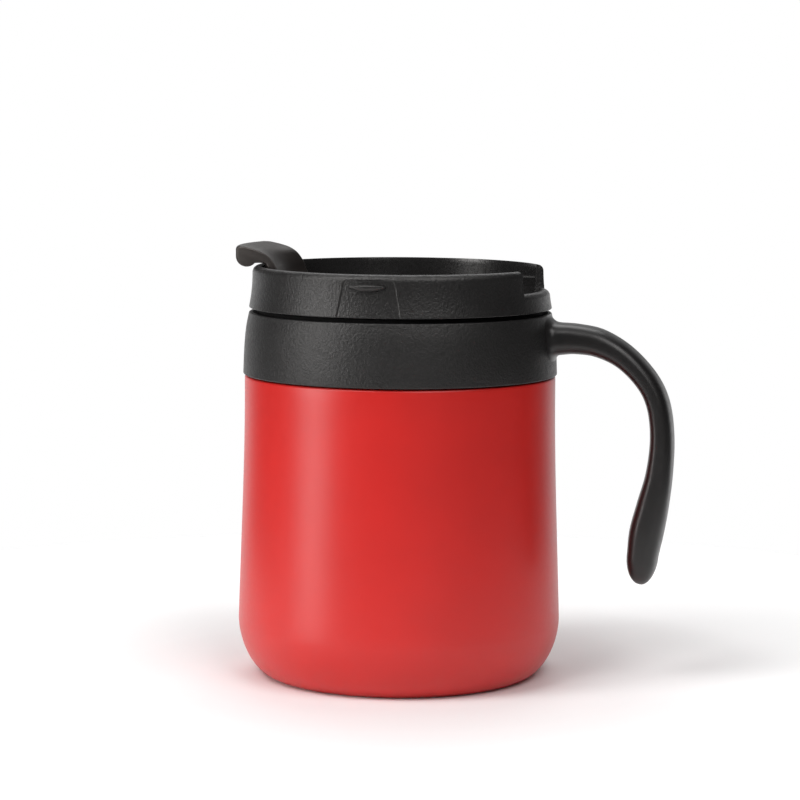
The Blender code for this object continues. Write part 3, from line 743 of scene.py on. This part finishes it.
def make_handle():
    """A bar swept along its middle line, flared where it meets the collar and rounded at its tip."""
    root = collar_radius(HANDLE_LINE[0][1] * MM) / MM
    first = HANDLE_LINE[0]
    sections = []
    for step in range(ROOT_STEPS + 1):
        lift = ROOT_ROUND * (1 - math.cos(math.pi / 2 * step / ROOT_STEPS))
        flare = ROOT_ROUND * (1 - math.sin(math.pi / 2 * step / ROOT_STEPS))
        sections.append(Vector((root - 0.05 + lift, first[1], first[2] + flare, first[3] + flare)))
    past_root = root + ROOT_ROUND + 0.3
    sections += [point for point in smooth_line(HANDLE_LINE, 10) if point[0] > past_root]
    loops = []
    for i, section in enumerate(sections):
        before = sections[max(i - 1, 0)]
        after = sections[min(i + 1, len(sections) - 1)]
        along = Vector((after[0] - before[0], 0.0, after[1] - before[1])).normalized()
        if i <= ROOT_STEPS:
            along = Vector((1.0, 0.0, 0.0))
        normal = Vector((-along.z, 0.0, along.x))
        middle = Vector((section[0], 0.0, section[1]))
        loop = []
        for up, across in rounded_loop(section[2], section[3], HANDLE_POWER, 72):
            loop.append(middle + normal * up + Vector((0.0, across, 0.0)))
        loops.append(loop)
    last = loops[-1]
    start = Vector((sections[-1][0], 0.0, sections[-1][1]))
    run = Vector((HANDLE_TIP[0], 0.0, HANDLE_TIP[1])) - start
    for step in range(1, TIP_STEPS):
        angle = math.pi / 2 * step / TIP_STEPS
        on, out = math.sin(angle), math.cos(angle)
        loops.append([start + run * on + (point - start) * out for point in last])
    for loop in loops:
        for point in loop:
            fade = 1 - smooth_step((point.x - root) / ROOT_LENGTH)
            surface = math.sqrt(max(0.0, (collar_radius(point.z * MM) / MM) ** 2 - point.y**2))
            point.x += (surface - root) * fade
    bm = lofted_mesh([[point * MM for point in loop] for loop in loops])
    handle = new_object("grip_handle", bm, HANDLE_PLASTIC)
    stand_for(handle, "mug", "handle_plastic", "handle")


# ---------------------------------------------------------------- the lid


def from_notch_middle(degrees):
    """How far round the lid this angle is from the middle of the notch."""
    return abs((degrees + 180) % 360 - 180)


def lid_angles():
    """Angles round the lid, closer together at the two sides of the notch and over the finger grips."""
    coarse = [step * 1.5 for step in range(240)]
    kept = []
    for angle in coarse:
        off_notch = abs(from_notch_middle(angle) - NOTCH_HALF_ANGLE) > 0.8
        off_grips = abs(from_notch_middle(angle) - 90) > 14
        if off_notch and off_grips:
            kept.append(angle)
    notch = [NOTCH_HALF_ANGLE + (step - 10) * 0.07 for step in range(21)]
    grip = [90 + (step - 60) * 0.23 for step in range(121)]
    kept += notch + [360 - angle for angle in notch]
    kept += grip + [360 - angle for angle in grip]
    return [math.radians(angle) for angle in sorted(kept)]


def grip_half_width(height):
    """Half the width of a finger grip at this height: wider at its foot, with round upper corners."""
    low = LID_LOW.z
    half = GRIP_HALF_TOP + (GRIP_HALF_FOOT - GRIP_HALF_TOP) * (GRIP_TOP - height) / (GRIP_TOP - low)
    into_corner = min(GRIP_CORNER, max(0.0, height - (GRIP_TOP - GRIP_CORNER)))
    return half - GRIP_CORNER + math.sqrt(GRIP_CORNER**2 - into_corner**2)


def with_grips(radius, height, angle):
    """The wall's radius here, less what a finger grip is sunk into it, which is most in its middle."""
    half = grip_half_width(height)
    x = radius * math.cos(angle)
    inside = min(half - abs(x), GRIP_TOP - height)
    if inside <= 0.0:
        return radius
    depth = GRIP_DEPTH + GRIP_HOLLOW * (1 - (x / half) ** 2)
    return radius - depth * smooth_step(inside / GRIP_STEP)


def lid_outline(angle):
    """Section of the lid's rim and wall: full height, or cut down to the notch's floor."""
    away = from_notch_middle(math.degrees(angle))
    cut = 1 - smooth_step((away - NOTCH_HALF_ANGLE + NOTCH_EDGE_ANGLE) / (2 * NOTCH_EDGE_ANGLE))
    drop = (RIM_TOP - NOTCH_FLOOR) * cut
    low = LID_LOW.z
    wall_low = low + RIM_FOOT_EDGE
    wall_high = RIM_TOP - RIM_ROUND
    wall_top = wall_high - drop

    def wall(height):
        """Outer radius of the wall, which draws in quickly above its foot and then stands straight."""
        rise = (height - wall_low) / (wall_high - wall_low)
        return RIM_RADIUS + (LID_HIGH.x - RIM_RADIUS) * (1 - rise) ** 2

    outside = arc((LID_HIGH.x - RIM_FOOT_EDGE, wall_low), RIM_FOOT_EDGE, -90, 0, 5)
    for step in range(1, WALL_ROWS + 1):
        height = wall_low + (wall_top - wall_low) * step / WALL_ROWS
        outside.append((wall(height), height))
    outside += arc((wall(wall_top) - RIM_ROUND, wall_top), RIM_ROUND, 0, 90, 16)[1:]
    outline = [(RIM_BURIED_RADIUS, low)]
    outline += [(with_grips(radius, height, angle), height) for radius, height in outside]
    inner = RIM_INNER_RADIUS
    inner_top = RIM_TOP - drop - RIM_INNER_EDGE
    outline += arc((inner + RIM_INNER_EDGE, inner_top), RIM_INNER_EDGE, 90, 180, 3)[1:]
    for step in range(1, 9):
        share = step / 8
        outline.append((inner - WELL_DRAFT * share, inner_top - (inner_top - RIM_BURIED_HEIGHT) * share))
    outline.append((RIM_BURIED_RADIUS, RIM_BURIED_HEIGHT))
    return outline


def make_grip_lip(side, end):
    """The small ridge that a fingertip pulls up on: a flat lens, fuller below than above."""
    bm = bmesh.new()
    bmesh.ops.create_uvsphere(bm, u_segments=48, v_segments=24, radius=1.0)
    for vert in bm.verts:
        point = vert.co
        swell = 1 - 0.45 * point.x**2
        point.x *= LIP_HALF_WIDTH
        point.y *= LIP_HALF_DEPTH
        point.z *= (LIP_ABOVE if point.z > 0 else LIP_BELOW) * swell
    place = (LIP_X, side * (RIM_RADIUS - LIP_SUNK), LIP_HEIGHT)
    bmesh.ops.translate(bm, vec=place, verts=bm.verts)
    lip = new_object(f"grip_lip_{end}", bm, GRAINED)
    stand_for(lip, "lid", "grained_plastic")


def well_section():
    """Across the lid from -Y to +Y: deck, rounded edge, channel wall, fillet, channel floor, and back."""
    half = CHANNEL_HALF_WIDTH
    right = arc((half - CHANNEL_FILLET, CHANNEL_FLOOR + CHANNEL_FILLET), CHANNEL_FILLET, -90, 0, 5)
    right += arc((half + DECK_EDGE, DECK - DECK_EDGE), DECK_EDGE, 180, 90, 5)
    right += [(across * MM, DECK) for across in DECK_ROWS]
    left = [(-y, z) for y, z in right[::-1]]
    return left + [(-8.0 * MM, CHANNEL_FLOOR), (0.0, CHANNEL_FLOOR), (8.0 * MM, CHANNEL_FLOOR)] + right


def make_well():
    """Decks and channel as one plate, whose round edge is tucked into the lid's wall."""
    low = LID_LOW.z
    section = well_section()
    bm = bmesh.new()

    def row(y, z):
        half = math.sqrt(WELL_REACH**2 - y**2)
        shares = [2 * step / WELL_STEPS for step in range(WELL_STEPS + 1)]
        return [bm.verts.new((-half + half * share, y, z)) for share in shares]

    top = [row(y, z) for y, z in section]
    bottom = [row(y, low) for y, z in section]
    for rows in (top, bottom):
        for first, second in zip(rows, rows[1:]):
            for i in range(WELL_STEPS):
                bm.faces.new((first[i], first[i + 1], second[i + 1], second[i]))
    for i in (0, WELL_STEPS):
        for j in range(len(section) - 1):
            bm.faces.new((top[j][i], top[j + 1][i], bottom[j + 1][i], bottom[j][i]))
    for upper, lower in ((top[0], bottom[0]), (top[-1], bottom[-1])):
        for i in range(WELL_STEPS):
            bm.faces.new((upper[i], upper[i + 1], lower[i + 1], lower[i]))
    well = new_object("lid_well", bm, GRAINED)
    cut_holes(well, low - MM, CHANNEL_FLOOR + MM)
    stand_for(well, "lid", "grained_plastic")


def make_cheek(side, end):
    """The raised part of the deck beside the notch, from the channel out into the rim's wall."""
    inner = CHANNEL_HALF_WIDTH - CHEEK_OVERLAP
    loops = []
    for inset, height in ((0.0, DECK - MM), (0.0, CHEEK_TOP - CHEEK_EDGE), (CHEEK_EDGE, CHEEK_TOP)):
        start = math.degrees(math.asin((inner + inset) / CHEEK_REACH))
        stop = math.degrees(math.acos((CHEEK_START + inset) / CHEEK_REACH))
        points = [(CHEEK_START + inset, inner + inset)] + arc((0.0, 0.0), CHEEK_REACH, start, stop, 16)
        loops.append([(x, side * y, height) for x, y in points])
    cheek = new_object(f"notch_cheek_{end}", lofted_mesh(loops), GRAINED)
    stand_for(cheek, "lid", "grained_plastic")


def cut_holes(thing, low, high):
    """The drinking hole and the vent, from this height to that."""
    for centre, half_x, half_y, power in (DRINKING_HOLE, VENT_HOLE):
        outline = [(centre + x, y) for x, y in rounded_loop(half_x, half_y, power, 48)]
        loops = [[(x, y, height) for x, y in outline] for height in (low, high)]
        apply_boolean(thing, new_object("hole", lofted_mesh(loops), GRAINED), "DIFFERENCE")


def make_lid():
    rim = new_object("lid_rim", swept_mesh(lid_outline, lid_angles()), GRAINED, 40.0)
    for side, end in ((-1, "front"), (1, "rear")):
        make_grip_lip(side, end)
        make_cheek(side, end)
    stand_for(rim, "lid", "grained_plastic", "lid_body")
    make_well()


def make_lid_underside():
    """The plug below the lid, grooved for its seal, and the seal with its two round fins."""
    bottom, top = (corner.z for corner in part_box("lid_underside"))
    gasket_low, gasket_high = (corner.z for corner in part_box("lid_gasket"))
    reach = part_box("lid_gasket")[1].y
    groove = SEAL_GROOVE_RADIUS
    foot = PLUG_FOOT_ROUND
    inside = (SKIRT_RADIUS - SKIRT_ROUND, PLUG_CEILING - SKIRT_ROUND)
    outline = [(0.0, PLUG_CEILING)] + arc(inside, SKIRT_ROUND, 90, 0, 5)
    outline += arc((SKIRT_RADIUS + foot, bottom + foot), foot, 180, 270, 4)
    outline += arc((PLUG_RADIUS - foot, bottom + foot), foot, 270, 360, 4)
    outline += [(PLUG_RADIUS, gasket_low - FIT_GAP), (groove, gasket_low - FIT_GAP)]
    outline += [(groove, gasket_high + FIT_GAP), (PLUG_RADIUS, gasket_high + FIT_GAP)]
    outline += [(PLUG_RADIUS, PLUG_TOP), (reach, PLUG_SHOULDER), (reach, top), (0.0, top)]
    plate = turned("lid_plug", outline, INNER_PLASTIC)
    cut_holes(plate, PLUG_CEILING - 1.4 * MM, top + 1.0 * MM)
    stand_for(plate, "lid", "inner_plastic", "lid_underside")
    outline = [(groove + FIT_GAP, gasket_low)]
    for height in (gasket_low + FIN_FROM_EDGE, gasket_high - FIN_FROM_EDGE):
        outline += [(reach - FIN_ROOT, height - 0.5 * MM)]
        outline += arc((reach - FIN_ROUND, height), FIN_ROUND, -70, 70, 6)
        outline += [(reach - FIN_ROOT, height + 0.45 * MM)]
    outline = [point for point in outline if gasket_low <= point[1] <= gasket_high]
    outline += [(groove + FIT_GAP, gasket_high)]
    stand_for(turned("lid_seal", outline, SILICONE), "lid", "silicone", "lid_gasket")


# ---------------------------------------------------------------- the flap


FLAP_HALF_WIDTH = 15.3 * MM
FLAP_TIP_HALF_WIDTH = 13.3 * MM
NARROWS_FROM = 33.0 * MM
FLAP_REACH = -FLAP_LOW.x
FLAP_CORNER = 0.9 * MM
FLAP_EDGE = 0.55 * MM
ARM_LOW = 101.4 * MM
ARM_HIGH = 104.2 * MM
BENDS_FROM = 20.0 * MM
BENDS_OVER = 10.0 * MM
HOOK_CENTRE = (41.0 * MM, 111.8 * MM)
HOOK_RADIUS = 2.7 * MM
BARREL_RADIUS = 2.2 * MM
BARREL_LENGTH = 31.4 * MM
# Distance from the hinge line and height of points down the crown to the arm, in millimetres
CROWN = (
    (41.4, 114.42),
    (39.0, 113.80),
    (36.9, 113.00),
    (35.4, 111.90),
    (34.45, 110.65),
    (33.6, 109.0),
    (33.05, 107.2),
    (32.3, 105.6),
    (31.2, 104.6),
    (29.8, 104.22),
)


def flap_outline():
    """Side view of the flap, as distance from the hinge line and height: arm, riser, tip and crown."""
    outline = [(x * MM, ARM_LOW) for x in (0, 8, 14, 20, 25, 30)]
    outline += arc((34.9 * MM, ARM_LOW + 1.0 * MM), 1.0 * MM, -90, -5, 5)
    outline += [(35.95 * MM, 105.5 * MM), (36.0 * MM, 108.8 * MM)]
    outline += arc((37.2 * MM, 109.0 * MM), 1.2 * MM, 180, 95, 6)
    outline += [(37.9 * MM, 110.22 * MM)]
    outline += arc(HOOK_CENTRE, HOOK_RADIUS, -142, -4, 14)
    corner = (FLAP_REACH - FLAP_CORNER, FLAP_HIGH.z - FLAP_CORNER)
    outline += arc(corner, FLAP_CORNER, 0, 85, 6)
    outline += [(x * MM, z * MM) for x, z in smooth_line(CROWN, 5)]
    outline += [(x * MM, ARM_HIGH) for x in (27.6, 25, 20, 14, 8, 0)]
    return outline


def inset_outline(outline, inset):
    """The outline moved inwards, for the rounded long edges."""
    moved = []
    count = len(outline)
    for i in range(count):
        before = Vector(outline[i - 1])
        after = Vector(outline[(i + 1) % count])
        along = (after - before).normalized()
        point = Vector(outline[i]) + Vector((-along.y, along.x)) * inset
        moved.append((point.x, point.y))
    return moved


def bent_back(distance, across):
    """The flap's riser and crown run round the mug's axis, and its arm runs straight."""
    bend = smooth_step((distance - BENDS_FROM) / BENDS_OVER)
    return -(distance - bend * (distance - math.sqrt(max(distance, BENDS_FROM) ** 2 - across**2)))


def half_width(distance):
    """The flap is full width to its riser and narrows from there to its tip."""
    share = min(1.0, max(0.0, (distance - NARROWS_FROM) / (FLAP_REACH - NARROWS_FROM)))
    return FLAP_HALF_WIDTH + (FLAP_TIP_HALF_WIDTH - FLAP_HALF_WIDTH) * share


def make_flap():
    """Loops of the flap's outline from side to side, inset at the two edges, joined to its barrel."""
    outline = flap_outline()
    edge = []
    for across, up in arc((0.0, 0.0), FLAP_EDGE, 0, 90, 6):
        edge.append((1 - (FLAP_EDGE - across) / FLAP_HALF_WIDTH, FLAP_EDGE - up))
    inner = edge[-1][0]
    sides = edge + [(inner * (1 - step / 12), 0.0) for step in range(1, 24)]
    sides += [(-share, inset) for share, inset in edge[::-1]]
    loops = []
    for share, inset in sides:
        loop = []
        for distance, height in inset_outline(outline, inset):
            across = half_width(distance) * share
            loop.append((bent_back(distance, across), across, height))
        loops.append(loop)
    flap = new_object("drinking_flap", lofted_mesh(loops), FLAP_PLASTIC, 40.0)
    bm = bmesh.new()
    radius = BARREL_RADIUS
    bmesh.ops.create_cone(
        bm, cap_ends=True, segments=48, radius1=radius, radius2=radius, depth=BARREL_LENGTH
    )
    barrel = new_object("barrel", bm, FLAP_PLASTIC)
    barrel.rotation_euler = (math.pi / 2, 0.0, 0.0)
    barrel.location = (0.0, 0.0, HINGE_HEIGHT)
    bpy.context.view_layer.update()
    apply_boolean(flap, barrel, "UNION")
    flap.data.shade_smooth()
    flap.data.set_sharp_from_angle(angle=math.radians(38))
    stand_for(flap, "flap", "grained_plastic", "flap")


def finish_small_parts():
    """The CAD nodes that stay, each with its own finish."""
    finishes = {
        "vacuum_seal_bead": GLASS,
        "reflector_foil": FOIL,
        "getter": PLATE_STEEL,
        "handle_screw_front": PLATE_STEEL,
        "handle_screw_rear": PLATE_STEEL,
        "hinge_pin_front": PLATE_STEEL,
        "hinge_pin_rear": PLATE_STEEL,
        "flap_stopper": SILICONE,
        "flap_vent_plug": SILICONE,
    }
    for node, material in finishes.items():
        mesh = frame["nodes"][node].data
        mesh.materials.clear()
        mesh.materials.append(material)


make_camera()
make_floor()
make_light()
make_shell()
make_vessel()
make_underside()
make_collar()
make_handle()
make_lid()
make_lid_underside()
make_flap()
finish_small_parts()
bpy.context.scene.view_settings.view_transform = "Standard"
